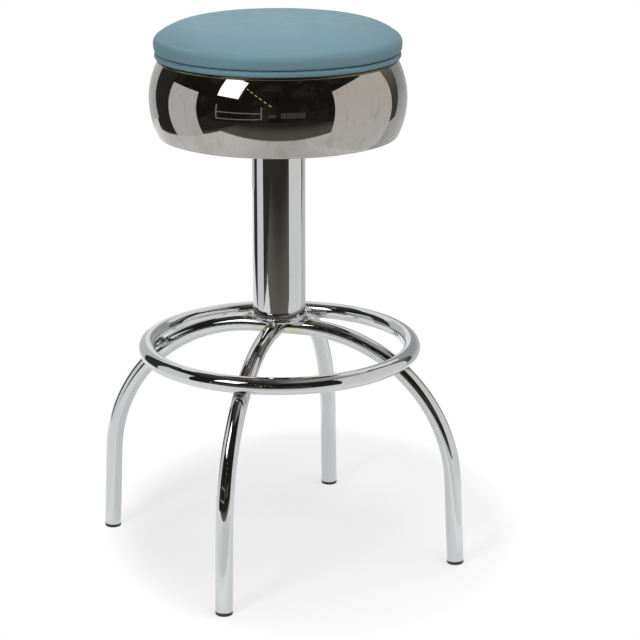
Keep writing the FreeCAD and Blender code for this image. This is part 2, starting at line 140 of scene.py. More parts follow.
TUBE_CHROME = (0.60, 0.615, 0.62)
BOWL_CHROME = (0.425, 0.412, 0.392)
BOWL_DULL = (0.245, 0.228, 0.210)
# Painted dim brown reflection on the rolled lip under the piping
LIP_PAINTED_REFLECTION = (0.15, 0.125, 0.075)
TUBE_SMEAR = (0.55, 0.565, 0.57)
WELD_BROWN = (0.20, 0.165, 0.085)
WELD_METAL = (0.68, 0.69, 0.69)
WELD_BURNT = (0.36, 0.31, 0.18)
RING_WELD_PLACE = (0.1955, 0.0, 0.3055)
HUB_WELD_PLACE = (0.046, 0.0, 0.3600)
STRAW_TINT = (0.58, 0.55, 0.41)
MITRE_PLACE = (0.027, 0.016, 0.3470)


def smudges(look, scale, low, high):
    """Faint wiped marks, 0..1."""
    broad = look.noise(scale, 4.0, 0.6, look.stretched(1.0, 1.0, 0.35), 0.6)
    return look.span(broad, low, high)


def near_weld_share(look, place, reach):
    """1 by the weld between a leg and what it carries, fading to 0 at reach, for all four legs at once."""
    parts = look.node("ShaderNodeSeparateXYZ", {"Vector": look.place})
    across = look.math("ABSOLUTE", parts.outputs["X"])
    along = look.math("ABSOLUTE", parts.outputs["Y"])
    near = {"X": look.math("MAXIMUM", across, along), "Y": look.math("MINIMUM", across, along),
            "Z": parts.outputs["Z"]}
    folded = look.node("ShaderNodeCombineXYZ", near).outputs["Vector"]
    gap = look.node("ShaderNodeVectorMath", {0: folded, 1: place}, operation="DISTANCE").outputs["Value"]
    ragged = look.math("MULTIPLY_ADD", look.noise(420.0, 3.0, 0.6), 0.008, gap)
    return look.span(ragged, reach, reach * 0.55)


def tube_chrome():
    look = Look("tube_chrome", TUBE_CHROME, 0.03, 1.0)
    marks = smudges(look, 22.0, 0.52, 0.80)
    # Browner and rougher chrome close to the welds at the ring and under the hub
    tint = look.math("MAXIMUM", near_weld_share(look, RING_WELD_PLACE, 0.0175),
                     near_weld_share(look, HUB_WELD_PLACE, 0.016))
    tint = look.math("MULTIPLY", tint, 0.8)
    clean = look.blend(marks, TUBE_CHROME, TUBE_SMEAR)
    straw = look.math("MULTIPLY", near_weld_share(look, MITRE_PLACE, 0.022), 0.65)
    look.colour(look.blend(tint, look.blend(straw, clean, STRAW_TINT), WELD_BROWN))
    scratches = look.span(look.noise(900.0, 2.0, 0.5, look.stretched(1.0, 1.0, 0.06)), 0.60, 0.78)
    gloss = look.math("MULTIPLY_ADD", marks, 0.05, 0.025)
    gloss = look.math("MULTIPLY_ADD", scratches, 0.03, gloss)
    look.roughness(look.math("MULTIPLY_ADD", tint, 0.25, gloss))
    look.bump(look.noise(26.0, 2.0, 0.4), 0.00011)
    return look.material


def bowl_chrome():
    """Dark chrome with streaks and specks high up, a dull film low down, and a painted dim brown reflection on
    the rolled lip under the piping.
    """
    look = Look("bowl_chrome", BOWL_CHROME, 0.03, 1.0)
    height = look.node("ShaderNodeSeparateXYZ", {"Vector": look.place}).outputs["Z"]
    patches = look.span(look.noise(9.0, 3.0, 0.6), 0.44, 0.60)
    fan = look.span(look.noise(75.0, 5.0, 0.75, look.stretched(1.0, 1.0, 0.22), 2.2), 0.46, 0.66)
    specks = look.span(look.noise(260.0, 3.0, 0.6, look.stretched(1.0, 1.0, 0.5)), 0.66, 0.74)
    wear = look.math("MULTIPLY", look.math("MAXIMUM", fan, specks), patches)
    wear = look.math("MULTIPLY", wear, look.span(height, 0.672, 0.700, 0.20, 1.0))
    film = look.span(look.noise(24.0, 4.0, 0.65, look.stretched(1.0, 1.0, 0.6), 0.8), 0.42, 0.68)
    film = look.math("MULTIPLY", film, look.span(height, 0.690, 0.655, 0.25, 1.0))
    dull = look.math("MAXIMUM", look.math("MULTIPLY", wear, 0.75), look.math("MULTIPLY", film, 0.42))
    worn = look.blend(dull, BOWL_CHROME, BOWL_DULL)
    # Above 748 mm, on the lip under the piping: a painted dim brown reflection, also a little rougher
    lip_painted_reflection = look.span(height, 0.7470, 0.7484)
    look.colour(look.blend(lip_painted_reflection, worn, LIP_PAINTED_REFLECTION))
    gloss = look.math("MULTIPLY_ADD", dull, 0.07, 0.018)
    look.roughness(look.math("MULTIPLY_ADD", lip_painted_reflection, 0.22, gloss))
    look.bump(look.noise(9.0, 2.0, 0.4), 0.00030)
    return look.material


def weld_metal():
    look = Look("weld_bead", WELD_METAL, 0.30, 1.0)
    burnt = look.span(look.noise(75.0, 4.0, 0.65), 0.58, 0.72)
    look.colour(look.blend(burnt, WELD_METAL, WELD_BURNT))
    look.roughness(look.math("MULTIPLY_ADD", burnt, 0.12, 0.30))
    look.bump(look.noise(600.0, 3.0, 0.5), 0.00006)
    return look.material


def plain_steel(name, colour, rough, stain):
    """Mill steel with a drawn grain and darker stains."""
    look = Look(name, colour, rough, 1.0)
    stained = look.span(look.noise(45.0, 5.0, 0.65), 0.45, 0.72)
    look.colour(look.blend(stained, colour, stain))
    grain = look.noise(1600.0, 2.0, 0.5, look.stretched(1.0, 0.06, 1.0))
    look.roughness(look.math("MULTIPLY_ADD", grain, 0.18, rough - 0.05))
    look.bump(grain, 0.00003)
    return look.material


def zinc_steel():
    look = Look("zinc_steel", (0.58, 0.60, 0.60), 0.30, 1.0)
    spangle = look.cells(420.0)
    tone = look.span(spangle, 0.1, 0.8)
    look.colour(look.blend(tone, (0.62, 0.63, 0.62), (0.48, 0.47, 0.38)))
    look.roughness(look.math("MULTIPLY_ADD", tone, 0.18, 0.20))
    look.bump(spangle, 0.00002)
    return look.material


def bearing_steel():
    look = Look("bearing_steel", (0.60, 0.60, 0.60), 0.10, 1.0)
    ground = look.noise(2600.0, 2.0, 0.5, look.stretched(1.0, 1.0, 8.0))
    oil = look.span(look.noise(70.0, 3.0, 0.6), 0.45, 0.70)
    look.colour(look.blend(oil, (0.62, 0.62, 0.62), (0.48, 0.42, 0.30)))
    look.roughness(look.math("MULTIPLY_ADD", ground, 0.12, 0.05))
    look.bump(ground, 0.00001)
    return look.material


def moulded(name, colour, worn, rough, grain_scale, grain_depth, **sockets):
    """Moulded plastic with a fine grain and scuffed patches."""
    look = Look(name, colour, rough, 0.0, **sockets)
    scuffs = look.span(look.noise(140.0, 4.0, 0.65), 0.52, 0.75)
    look.colour(look.blend(scuffs, colour, worn))
    look.roughness(look.math("MULTIPLY_ADD", scuffs, 0.2, rough))
    look.bump(look.noise(grain_scale, 3.0, 0.6), grain_depth)
    return look.material


def plywood():
    """Birch ply: face grain seen from below, light and dark veneers on the edge."""
    look = Look("plywood", (0.62, 0.44, 0.25), 0.6)
    parts = look.node("ShaderNodeSeparateXYZ", {"Vector": look.place})
    figure = look.noise(30.0, 5.0, 0.6, look.stretched(0.25, 3.0, 1.0), 1.2)
    pores = look.noise(420.0, 3.0, 0.6, look.stretched(0.05, 3.0, 1.0))
    face = look.blend(look.span(figure, 0.35, 0.70), (0.68, 0.50, 0.30), (0.50, 0.33, 0.17))
    face = look.blend(look.span(pores, 0.52, 0.72, 0.0, 0.6), face, (0.30, 0.18, 0.09))
    layer = look.math("FRACT", look.math("MULTIPLY", parts.outputs["Z"], 420.0))
    veneer = look.span(layer, 0.42, 0.58)
    edge = look.blend(veneer, (0.66, 0.49, 0.30), (0.36, 0.23, 0.12))
    across = look.node("ShaderNodeVectorMath", {0: look.node("ShaderNodeNewGeometry").outputs["Normal"],
                                                1: (0.0, 0.0, 1.0)}, operation="DOT_PRODUCT").outputs["Value"]
    flat = look.span(look.math("ABSOLUTE", across), 0.4, 0.8)
    look.colour(look.blend(flat, edge, face))
    look.roughness(look.span(pores, 0.3, 0.8, 0.5, 0.75))
    look.bump(pores, 0.00015)
    return look.material


def foam():
    look = Look("foam", (0.80, 0.70, 0.42), 0.9)
    pores = look.cells(900.0)
    tone = look.noise(25.0, 3.0, 0.5)
    look.colour(look.blend(look.span(tone, 0.4, 0.7), (0.82, 0.73, 0.46), (0.74, 0.60, 0.30)))
    look.roughness(look.span(pores, 0.0, 0.8, 0.95, 0.8))
    look.bump(pores, 0.0005)
    return look.material


def twisted_cord():
    look = Look("twisted_cord", (0.72, 0.66, 0.52), 0.85)
    fibres = look.noise(2400.0, 3.0, 0.6, look.stretched(1.0, 1.0, 0.3))
    look.colour(look.blend(fibres, (0.80, 0.75, 0.62), (0.52, 0.46, 0.34)))
    look.roughness(look.span(fibres, 0.3, 0.7, 0.75, 0.95))
    look.bump(fibres, 0.0002)
    return look.material


VINYL = (0.200, 0.345, 0.402)
VINYL_DEEP = (0.185, 0.322, 0.374)


def vinyl():
    """Smooth upholstery vinyl with a fine pebbled grain and a soft sheen."""
    look = Look("vinyl", VINYL, 0.5, 0.0, Specular_IOR_Level=0.15)
    tone = look.noise(7.0, 3.0, 0.5)
    handled = look.span(look.noise(38.0, 4.0, 0.6), 0.40, 0.70)
    look.colour(look.blend(look.span(tone, 0.35, 0.65), VINYL, VINYL_DEEP))
    pebbles = look.cells(1100.0, "SMOOTH_F1")
    creases = look.noise(1800.0, 4.0, 0.6)
    look.roughness(look.math("MULTIPLY_ADD", handled, 0.10, look.math("MULTIPLY_ADD", pebbles, 0.08, 0.44)))
    look.bump(pebbles, 0.00012, 0.6)
    look.bump(creases, 0.00005, 0.5)
    return look.material


LOOKS = {
    "tube_chrome": tube_chrome(),
    "bowl_chrome": bowl_chrome(),
    "weld": weld_metal(),
    "steel": plain_steel("steel", (0.44, 0.43, 0.42), 0.38, (0.26, 0.22, 0.18)),
    "zinc_steel": zinc_steel(),
    "bearing_steel": bearing_steel(),
    "black_plastic": moulded("black_plastic", (0.022, 0.022, 0.023), (0.060, 0.058, 0.055), 0.42,
                             1500.0, 0.00006),
    "nylon": moulded("nylon", (0.74, 0.71, 0.62), (0.58, 0.54, 0.44), 0.40, 1100.0, 0.00003,
                     Subsurface_Weight=0.15, Subsurface_Scale=0.002),
    "plywood": plywood(),
    "foam": foam(),
    "cord": twisted_cord(),
    "vinyl": vinyl(),
}

# Each carried-over node keeps its form and takes the look of its slot
for node in nodes.values():
    slots = [slot.material.name for slot in node.material_slots if slot.material]
    found = slots[0].split(".")[0] if slots else "steel"
    node.data.materials.clear()
    node.data.materials.append(LOOKS["tube_chrome" if found == "chrome" else found])


# Mesh helpers

def arc(centre, radius, first, last, step=1.5):
    """Points (r, z) along an arc between two angles in degrees, counted up from the horizontal."""
    count = max(2, ceil(abs(last - first) / step))
    angles = [radians(first + (last - first) * i / count) for i in range(count + 1)]
    return [(centre[0] + radius * cos(a), centre[1] + radius * sin(a)) for a in angles]


def run(start, end, count):
    """Evenly spaced points from start towards end, the end left out."""
    steps = [i / count for i in range(count)]
    return [(start[0] + (end[0] - start[0]) * t, start[1] + (end[1] - start[1]) * t) for t in steps]


def reach_at(centre, radius, z):
    return centre[0] + sqrt(radius ** 2 - (z - centre[1]) ** 2)


def angle_at(centre, radius, z):
    return degrees(asin((z - centre[1]) / radius))


def skin_of(rows):
    """Faces between rows of points, closed both ways round."""
    faces = []
    for row, after in zip(rows, rows[1:] + rows[:1]):
        for k in range(len(row)):
            j = (k + 1) % len(row)
            face = list(dict.fromkeys([row[k], row[j], after[j], after[k]]))
            if len(face) > 2:
                faces.append(face)
    return faces


def turned(profile, segments, shift=None):
    """Closed surface of revolution from a closed profile of (r, z); shift moves a point by its place."""
    points, rows = [], []
    for index, (r, z) in enumerate(profile):
        if r < 1e-6:
            rows.append([len(points)] * segments)
            points.append((0.0, 0.0, z * MM))
            continue
        rows.append(range(len(points), len(points) + segments))
        for k in range(segments):
            angle = 2 * pi * k / segments
            out, up = shift(r, z, angle) if shift else (r, z)
            points.append((out * cos(angle) * MM, out * sin(angle) * MM, up * MM))
    return points, skin_of(rows)


def piece(name, surface, body, slot, look, *stands_for, sharp=30.0):
    """A mesh object from (points, faces) that rides on a body and stands for CAD nodes."""
    mesh = bpy.data.meshes.new(name)
    mesh.from_pydata(surface[0], [], surface[1])
    shell = bmesh.new()
    shell.from_mesh(mesh)
    bmesh.ops.remove_doubles(shell, verts=shell.verts, dist=1e-6)
    bmesh.ops.recalc_face_normals(shell, faces=shell.faces)
    shell.to_mesh(mesh)
    shell.free()
    mesh.polygons.foreach_set("use_smooth", [True] * len(mesh.polygons))
    mesh.set_sharp_from_angle(angle=radians(sharp))
    mesh.materials.append(LOOKS[look])
    made = bpy.data.objects.new(name, mesh)
    scene.collection.objects.link(made)
    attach(made, body)
    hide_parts(*stands_for)
    return made


# Legs: a level run, one bend and a leaning shank of 25 mm tube

TUBE_RADIUS = 12.5
TUBE_WALL = 1.5
LEG_HEIGHT = 349.5
LEG_RUN = 36.4
BEND_RADIUS = 232.0
LEG_LEAN = 2.7
CAP_HEAD = 5.0
BEND_STEPS = 75
TUBE_SIDES = 48
LEG_SIDES = {"right": 0, "back": 90, "left": 180, "front": 270}

bend_centre = (LEG_RUN, LEG_HEIGHT - BEND_RADIUS)
shank_down = (sin(radians(LEG_LEAN)), -cos(radians(LEG_LEAN)))


def leg_line():
    """Points of the leg's centreline with the direction of the tube there."""
    line = [((0.0, LEG_HEIGHT), (1.0, 0.0))]
    for i in range(BEND_STEPS + 1):
        angle = 90 - (90 - LEG_LEAN) * i / BEND_STEPS
        place = arc(bend_centre, BEND_RADIUS, angle, angle)[0]
        line.append((place, (sin(radians(angle)), -cos(radians(angle)))))
    x, z = line[-1][0]
    shank = z / -shank_down[1] - CAP_HEAD
    for share in (0.01, 0.5, 0.99, 1.0):
        line.append(((x + shank_down[0] * shank * share, z + shank_down[1] * shank * share), shank_down))
    return line


def leg_tube(turn):
    """Tube along the leg, mitred at the swivel axis to meet its neighbours, outer and inner wall."""
    points, rows = [], []
    turning = Matrix.Rotation(radians(turn), 3, "Z")
    walls = [(TUBE_RADIUS, leg_line()), (TUBE_RADIUS - TUBE_WALL, leg_line()[::-1])]
    for radius, line in walls:
        for (x, z), (along, down) in line:
            rows.append(range(len(points), len(points) + TUBE_SIDES))
            for k in range(TUBE_SIDES):
                angle = 2 * pi * k / TUBE_SIDES
                side, rise = radius * cos(angle), radius * sin(angle)
                mitre = abs(side) if x == 0.0 else 0.0
                place = Vector((x - rise * down + mitre, side, z + rise * along))
                points.append(turning @ (place * MM))
    return points, skin_of(rows)


for side, turn in LEG_SIDES.items():
    piece("tube_leg_" + side, leg_tube(turn), "base", "chrome", "tube_chrome", "leg_" + side)


# Foot ring, hub plate and column

RING_RADIUS = 197.4
RING_HEIGHT = 317.95
RING_SEGMENTS = 288
HUB_RADIUS = 42.0
HUB_BOTTOM = 362.0
HUB_TOP = 367.0
HUB_ROUNDING = 1.9
HUB_SEGMENTS = 144
COLUMN_RADIUS = 39.0
COLUMN_WALL = 2.0
COLUMN_TOP = 712.0
COLUMN_ROUNDING = 0.4
COLUMN_SEGMENTS = 160

ring = turned(arc((RING_RADIUS, RING_HEIGHT), TUBE_RADIUS, 0, 360, 6.0)[:-1], RING_SEGMENTS)
piece("tube_foot_ring", ring, "base", "chrome", "tube_chrome", "foot_ring")


def rounded_loop(corners, radius, step=15.0):
    """Closed profile through (r, z) corners, each right-angled corner rounded."""
    loop = []
    for i, corner in enumerate(corners):
        before, after = Vector(corners[i - 1]), Vector(corners[(i + 1) % len(corners)])
        here = Vector(corner)
        back, ahead = (before - here).normalized(), (after - here).normalized()
        if here.x < 1e-6:
            loop.append(corner)
            continue
        centre = here + (back + ahead) * radius
        count = int(90 / step)
        loop.append(tuple(here + back * radius * 1.5))
        for k in range(count + 1):
            angle = radians(90 * k / count)
            loop.append(tuple(centre - ahead * radius * cos(angle) - back * radius * sin(angle)))
        loop.append(tuple(here + ahead * radius * 1.5))
    return loop


hub = rounded_loop([(0.0, HUB_BOTTOM), (HUB_RADIUS, HUB_BOTTOM), (HUB_RADIUS, HUB_TOP), (0.0, HUB_TOP)],
                   HUB_ROUNDING)
piece("hub_disc", turned(hub, HUB_SEGMENTS), "base", "chrome", "tube_chrome", "hub_plate")

inside = COLUMN_RADIUS - COLUMN_WALL
column = rounded_loop([(inside, HUB_TOP), (COLUMN_RADIUS, HUB_TOP), (COLUMN_RADIUS, COLUMN_TOP),
                       (inside, COLUMN_TOP)], COLUMN_ROUNDING)
piece("column", turned(column, COLUMN_SEGMENTS), "base", "chrome", "tube_chrome", "column_tube")


# Weld beads

BEAD_INNER = COLUMN_RADIUS - 0.3
BEAD_RADIUS = 2.6
BEAD_SEGMENTS = 768
WELD_VOXEL = 0.0005


def rough(place, scale, seed):
    return noise.noise(Vector(place) * scale + Vector((seed, seed, seed)))


def column_bead(r, z, angle):
    """Ripples of the weld round the column's foot."""
    if z < HUB_TOP + 0.05:
        return r, z
    ripple = 0.10 * sin(64 * angle) + 0.30 * rough((cos(angle), sin(angle), 0.0), 9.0, 3.0)
    share = min(1.0, (z - HUB_TOP) / 2)
    return r + ripple * share, z + 0.5 * ripple * share


bead = [(BEAD_INNER, HUB_TOP), (HUB_RADIUS - 0.5, HUB_TOP)]
bead += arc((BEAD_INNER, HUB_TOP), BEAD_RADIUS, 12, 88, 8.0)
piece("column_bead", turned(bead, BEAD_SEGMENTS, column_bead), "base", "weld", "weld", "column_foot_weld",
      sharp=60.0)


def weld_beads(name, node, centres):
    """The node's own weld forms, remeshed, smoothed and rippled round each weld's centre."""
    copy = bpy.data.objects.new(name + "_blank", nodes[node].data.copy())
    scene.collection.objects.link(copy)
    remesh = copy.modifiers.new("remesh", "REMESH")
    remesh.mode = "VOXEL"
    remesh.voxel_size = WELD_VOXEL
    soften = copy.modifiers.new("soften", "SMOOTH")
    soften.iterations = 3
    bpy.context.view_layer.update()
    settled = copy.evaluated_get(bpy.context.evaluated_depsgraph_get())
    mesh = bpy.data.meshes.new_from_object(settled)
    points = []
    for vertex in mesh.vertices:
        centre, axis = min(centres, key=lambda c: (c[0] - vertex.co).length)
        side = axis.orthogonal().normalized()
        reach = vertex.co - centre
        angle = atan2(reach.dot(axis.cross(side)), reach.dot(side))
        ripple = 0.00016 * sin(22 * angle) + 0.00028 * rough(vertex.co, 420.0, 5.0)
        points.append(vertex.co + vertex.normal * ripple)
    faces = [tuple(face.vertices) for face in mesh.polygons]
    bpy.data.objects.remove(copy)
    return piece(name, (points, faces), "base", "weld", "weld", node, sharp=180.0)


ring_way = Vector((RING_RADIUS - bend_centre[0], 0.0, RING_HEIGHT - bend_centre[1])).normalized()
ring_touch = Vector((bend_centre[0], 0.0, bend_centre[1])) + ring_way * (BEND_RADIUS + TUBE_RADIUS)
turns = [Matrix.Rotation(radians(turn), 3, "Z") for turn in LEG_SIDES.values()]
weld_beads("ring_weld_beads", "foot_ring_welds", [(t @ (ring_touch * MM), t @ ring_way) for t in turns])
hub_touch = Vector((HUB_RADIUS, 0.0, HUB_BOTTOM)) * MM
weld_beads("hub_weld_beads", "hub_plate_welds", [(t @ hub_touch, t @ Vector((1, 0, 0))) for t in turns])


# Chrome bowl: flange, rolled lip, bulging side, rounded corner and hem

BOARD_RADIUS = 167.0
BOARD_TOP = 764.5
LIP_TOP = 751.3
BOWL_SHEET = 1.2
LIP_CENTRE = (172.4, 749.4)
LIP_RADIUS = 1.9
UPPER_HEIGHT, UPPER_BULGE = 55.6, 14.45
LOWER_HEIGHT, LOWER_BULGE = 55.0, 13.2
CORNER_RADIUS = 3.5
FLANGE_RADIUS = 152.0
HEM_REACH = 12.0
HEM_LIP = 5.0


def bowl_profile():
    widest = LIP_CENTRE[0] + UPPER_BULGE
    middle = LIP_CENTRE[1] - UPPER_HEIGHT
    bottom = middle - LOWER_HEIGHT
    upper = (UPPER_HEIGHT ** 2 + UPPER_BULGE ** 2) / (2 * UPPER_BULGE)
    lower = (LOWER_HEIGHT ** 2 + LOWER_BULGE ** 2) / (2 * LOWER_BULGE)
    upper_centre, lower_centre = (widest - upper, middle), (widest - lower, middle)

    lip_angle = angle_at(upper_centre, upper, LIP_CENTRE[1])
    side_angle = lip_angle - degrees(2 * asin(LIP_RADIUS / 2 / upper))
    side_top = arc(upper_centre, upper, side_angle, side_angle)[0]
    bead_angle = degrees(asin((side_top[1] - LIP_CENTRE[1]) / LIP_RADIUS))
    corner_z = bottom + CORNER_RADIUS
    corner_centre = (reach_at(lower_centre, lower - CORNER_RADIUS, corner_z), corner_z)
    corner_angle = degrees(asin((corner_z - middle) / (lower - CORNER_RADIUS)))
    hem_inner = corner_centre[0] - HEM_REACH
    hem_top, floor = bottom + HEM_LIP, bottom + BOWL_SHEET
    under_flange = LIP_TOP - BOWL_SHEET

    loop = run((FLANGE_RADIUS, LIP_TOP), (LIP_CENTRE[0], LIP_TOP), 6)
    loop += arc(LIP_CENTRE, LIP_RADIUS, 90, bead_angle, 10.0)
    loop += arc(upper_centre, upper, side_angle, 0, 1.0)[1:]
    loop += arc(lower_centre, lower, 0, corner_angle, 1.0)[1:]
    loop += arc(corner_centre, CORNER_RADIUS, corner_angle, -90, 8.0)[1:]
    loop += arc((hem_inner + 1.0, bottom + 1.0), 1.0, -90, -180, 15.0)
    loop += arc((hem_inner + BOWL_SHEET / 2, hem_top - BOWL_SHEET / 2), BOWL_SHEET / 2, 180, 0, 20.0)
    loop += [(hem_inner + BOWL_SHEET, floor)]
    loop += arc(lower_centre, lower - BOWL_SHEET, angle_at(lower_centre, lower - BOWL_SHEET, floor), 0, 1.5)
    flange_angle = angle_at(upper_centre, upper - BOWL_SHEET, under_flange)
    loop += arc(upper_centre, upper - BOWL_SHEET, 0, flange_angle, 1.5)[1:]
    loop += [(FLANGE_RADIUS, under_flange)]
    return loop


piece("bowl_shell", turned(bowl_profile(), 288), "seat", "chrome", "bowl_chrome", "chrome_bowl")


# Cushion: vinyl cover over foam, tucked in above the piping, its hem stapled under the board

SKIN = 1.0
SOFT_GAP = 0.1
RIM_CENTRE, RIM_RADIUS = (164.9, 773.2), 14.0
SHOULDER_RADIUS = 90.0
CROWN_CENTRE, CROWN_RADIUS = (0.0, -842.5), 1650.0
ROLL = [(178.75, 770.2), (178.5, 767.4), (178.0, 765.0), (177.1, 763.1), (175.8, 761.9), (174.0, 761.5),
        (171.5, 761.4)]
TUCK_HEIGHT = 761.3
TUCK_RADIUS = BOARD_RADIUS + SOFT_GAP
HEM_BOTTOM = LIP_TOP + SOFT_GAP
HEM_END = BOARD_RADIUS - 29.0
CUSHION_SEGMENTS = 432
CREASE_ANGLE, CREASE_REACH = radians(238), radians(15)
CREASE_HEIGHT, CREASE_WIDTH, CREASE_DEPTH = 784.0, 2.2, 0.8


def pad_arcs(inset):
    """Rim, shoulder and crown of the cushion as three tangent arcs, drawn in by an even inset."""
    apart = Vector(RIM_CENTRE) - Vector(CROWN_CENTRE)
    to_rim, to_crown = SHOULDER_RADIUS - RIM_RADIUS, CROWN_RADIUS - SHOULDER_RADIUS
    along = (to_crown ** 2 - to_rim ** 2 + apart.length ** 2) / (2 * apart.length)
    aside = sqrt(to_crown ** 2 - along ** 2)
    unit = apart.normalized()
    shoulder = Vector(CROWN_CENTRE) + unit * along + Vector((-unit.y, unit.x)) * aside
    rim_way, crown_way = Vector(RIM_CENTRE) - shoulder, shoulder - Vector(CROWN_CENTRE)
    rim_angle = degrees(asin(rim_way.y / rim_way.length))
    crown_angle = degrees(asin(crown_way.y / crown_way.length))
    upper = arc(shoulder, SHOULDER_RADIUS - inset, rim_angle, crown_angle, 1.5)[1:]
    upper += arc(CROWN_CENTRE, CROWN_RADIUS - inset, crown_angle, 90, 0.22)[1:]
    upper[-1] = (0.0, upper[-1][1])
    return rim_angle, upper


def cover_profile():
    rim_angle, upper = pad_arcs(0)
    edge = TUCK_RADIUS + SKIN
    loop = run((HEM_END, HEM_BOTTOM), (edge, HEM_BOTTOM), 14)
    loop += run((edge, HEM_BOTTOM), (edge, TUCK_HEIGHT), 6)
    loop += [(edge, TUCK_HEIGHT)] + ROLL[::-1]
    loop += arc(RIM_CENTRE, RIM_RADIUS, 0, rim_angle, 5.0)
    loop += upper
    rim_angle, upper = pad_arcs(SKIN)
    rim = RIM_RADIUS - SKIN
    fold_z = TUCK_HEIGHT + SKIN
    loop += upper[::-1]
    loop += arc(RIM_CENTRE, rim, rim_angle, degrees(asin((fold_z - RIM_CENTRE[1]) / rim)), 5.0)
    loop += [(TUCK_RADIUS, fold_z), (TUCK_RADIUS, HEM_BOTTOM + SKIN), (HEM_END, HEM_BOTTOM + SKIN)]
    return loop


def ease(value, start, end):
    share = min(1.0, max(0.0, (value - start) / (end - start)))
    return share * share * (3 - 2 * share)


def on_cover(r, z, angle):
    """Gathers above the piping, a creased rim, a slightly uneven crown, and pleats in the hem."""
    way = (cos(angle), sin(angle), 0.0)
    if z > TUCK_HEIGHT + 1.2:
        pull = 0.55 * rough(way, 6.5, 1.0) + 0.45 * rough(way, 15.0, 2.0)
        low = 1 - ease(z, 764.0, 783.0)
        uneven = rough((way[0] * r / 60, way[1] * r / 60, 0.0), 1.0, 7.0)
        crease = 1 - ease(abs(angle - CREASE_ANGLE), 0.3 * CREASE_REACH, CREASE_REACH)
        crease *= CREASE_DEPTH * exp(-((z - CREASE_HEIGHT) / CREASE_WIDTH) ** 2)
        return r + 0.75 * pull * low - crease, z + 0.45 * uneven * ease(z, 776.0, 795.0) - crease
    if z < HEM_BOTTOM + 0.2 and r < FLANGE_RADIUS - 1:
        pleat = abs(sin(24 * angle + 2.0 * rough(way, 5.0, 9.0))) ** 3
        return r, z - 0.9 * pleat * ease(r, FLANGE_RADIUS - 1, FLANGE_RADIUS - 7)
    return r, z


cover = piece("cushion_cover", turned(cover_profile(), CUSHION_SEGMENTS, on_cover), "seat", "vinyl", "vinyl",
              "vinyl_cover", sharp=50.0)


def foam_profile():
    inset = SKIN + SOFT_GAP
    rim_angle, upper = pad_arcs(inset)
    rim = RIM_RADIUS - inset
    foot_angle = degrees(asin((BOARD_TOP - RIM_CENTRE[1]) / rim))
    foot = reach_at(RIM_CENTRE, rim, BOARD_TOP)
    under = run((0.0, BOARD_TOP), (foot, BOARD_TOP), 24)
    return under + arc(RIM_CENTRE, rim, foot_angle, rim_angle, 6.0) + upper


def on_foam(r, z, angle):
    cut = 0.25 * rough((cos(angle) * r / 8, sin(angle) * r / 8, z / 8), 1.0, 11.0) - 0.25
    return (r + cut, z) if BOARD_TOP + 0.5 < z < 785 and r > 150 else (r, z)


pad = piece("cushion_foam", turned(foam_profile(), 240, on_foam), "seat", "foam", "foam", "foam_pad",
            sharp=50.0)


# Piping: a vinyl welt and the twisted cord in it

PIPING_CENTRE = (173.0, 756.2)
PIPING_RADIUS = 4.6
PIPING_CORE = 3.3
CORD_TURNS = 118


def on_piping(r, z, angle):
    way = (cos(angle), sin(angle), 0.0)
    swell = 0.16 * rough(way, 16.0, 13.0) - 0.05
    out, up = r - PIPING_CENTRE[0], z - PIPING_CENTRE[1]
    scale = 1 + swell / PIPING_RADIUS
    sway = 0.25 * rough(way, 4.0, 17.0)
    return PIPING_CENTRE[0] + out * scale, PIPING_CENTRE[1] + up * scale + sway


def on_cord(r, z, angle):
    out, up = r - PIPING_CENTRE[0], z - PIPING_CENTRE[1]
    strand = abs(cos(1.5 * (atan2(up, out) + CORD_TURNS * angle / 3)))
    scale = 0.86 + 0.12 * strand
    return PIPING_CENTRE[0] + out * scale, PIPING_CENTRE[1] + up * scale


welt = turned(arc(PIPING_CENTRE, PIPING_RADIUS, 0, 360, 12.0)[:-1], 432, on_piping)
piece("piping_welt", welt, "seat", "vinyl", "vinyl", "seat_piping")
core = turned(arc(PIPING_CENTRE, PIPING_CORE, 0, 360, 20.0)[:-1], 1080, on_cord)
piece("piping_strands", core, "seat", "cord", "cord", "piping_cord", sharp=60.0)


# Studio: pale floor, white surroundings, soft lamps, and cards that only reflections show.
# Its own axes are x to the camera's right and y away from the camera, turned by STUDIO_TURN.

STUDIO_TURN = radians(17.1)


def studio(x, y, z):
    return Vector((x * cos(STUDIO_TURN) - y * sin(STUDIO_TURN),
                   x * sin(STUDIO_TURN) + y * cos(STUDIO_TURN), z))


def at_bearing(bearing, distance, height):
    """Place at a bearing in degrees from the camera's side, positive to the right."""
    return studio(distance * sin(radians(bearing)), -distance * cos(radians(bearing)), height)


def stage_mesh(name, points, faces, material, reflected_only=True):
    mesh = bpy.data.meshes.new(name)
    mesh.from_pydata(points, [], faces)
    mesh.materials.append(material)
    made = bpy.data.objects.new(name, mesh)
    scene.collection.objects.link(made)
    if reflected_only:
        made.visible_camera = False
        made.visible_diffuse = False
        made.visible_shadow = False
    return made


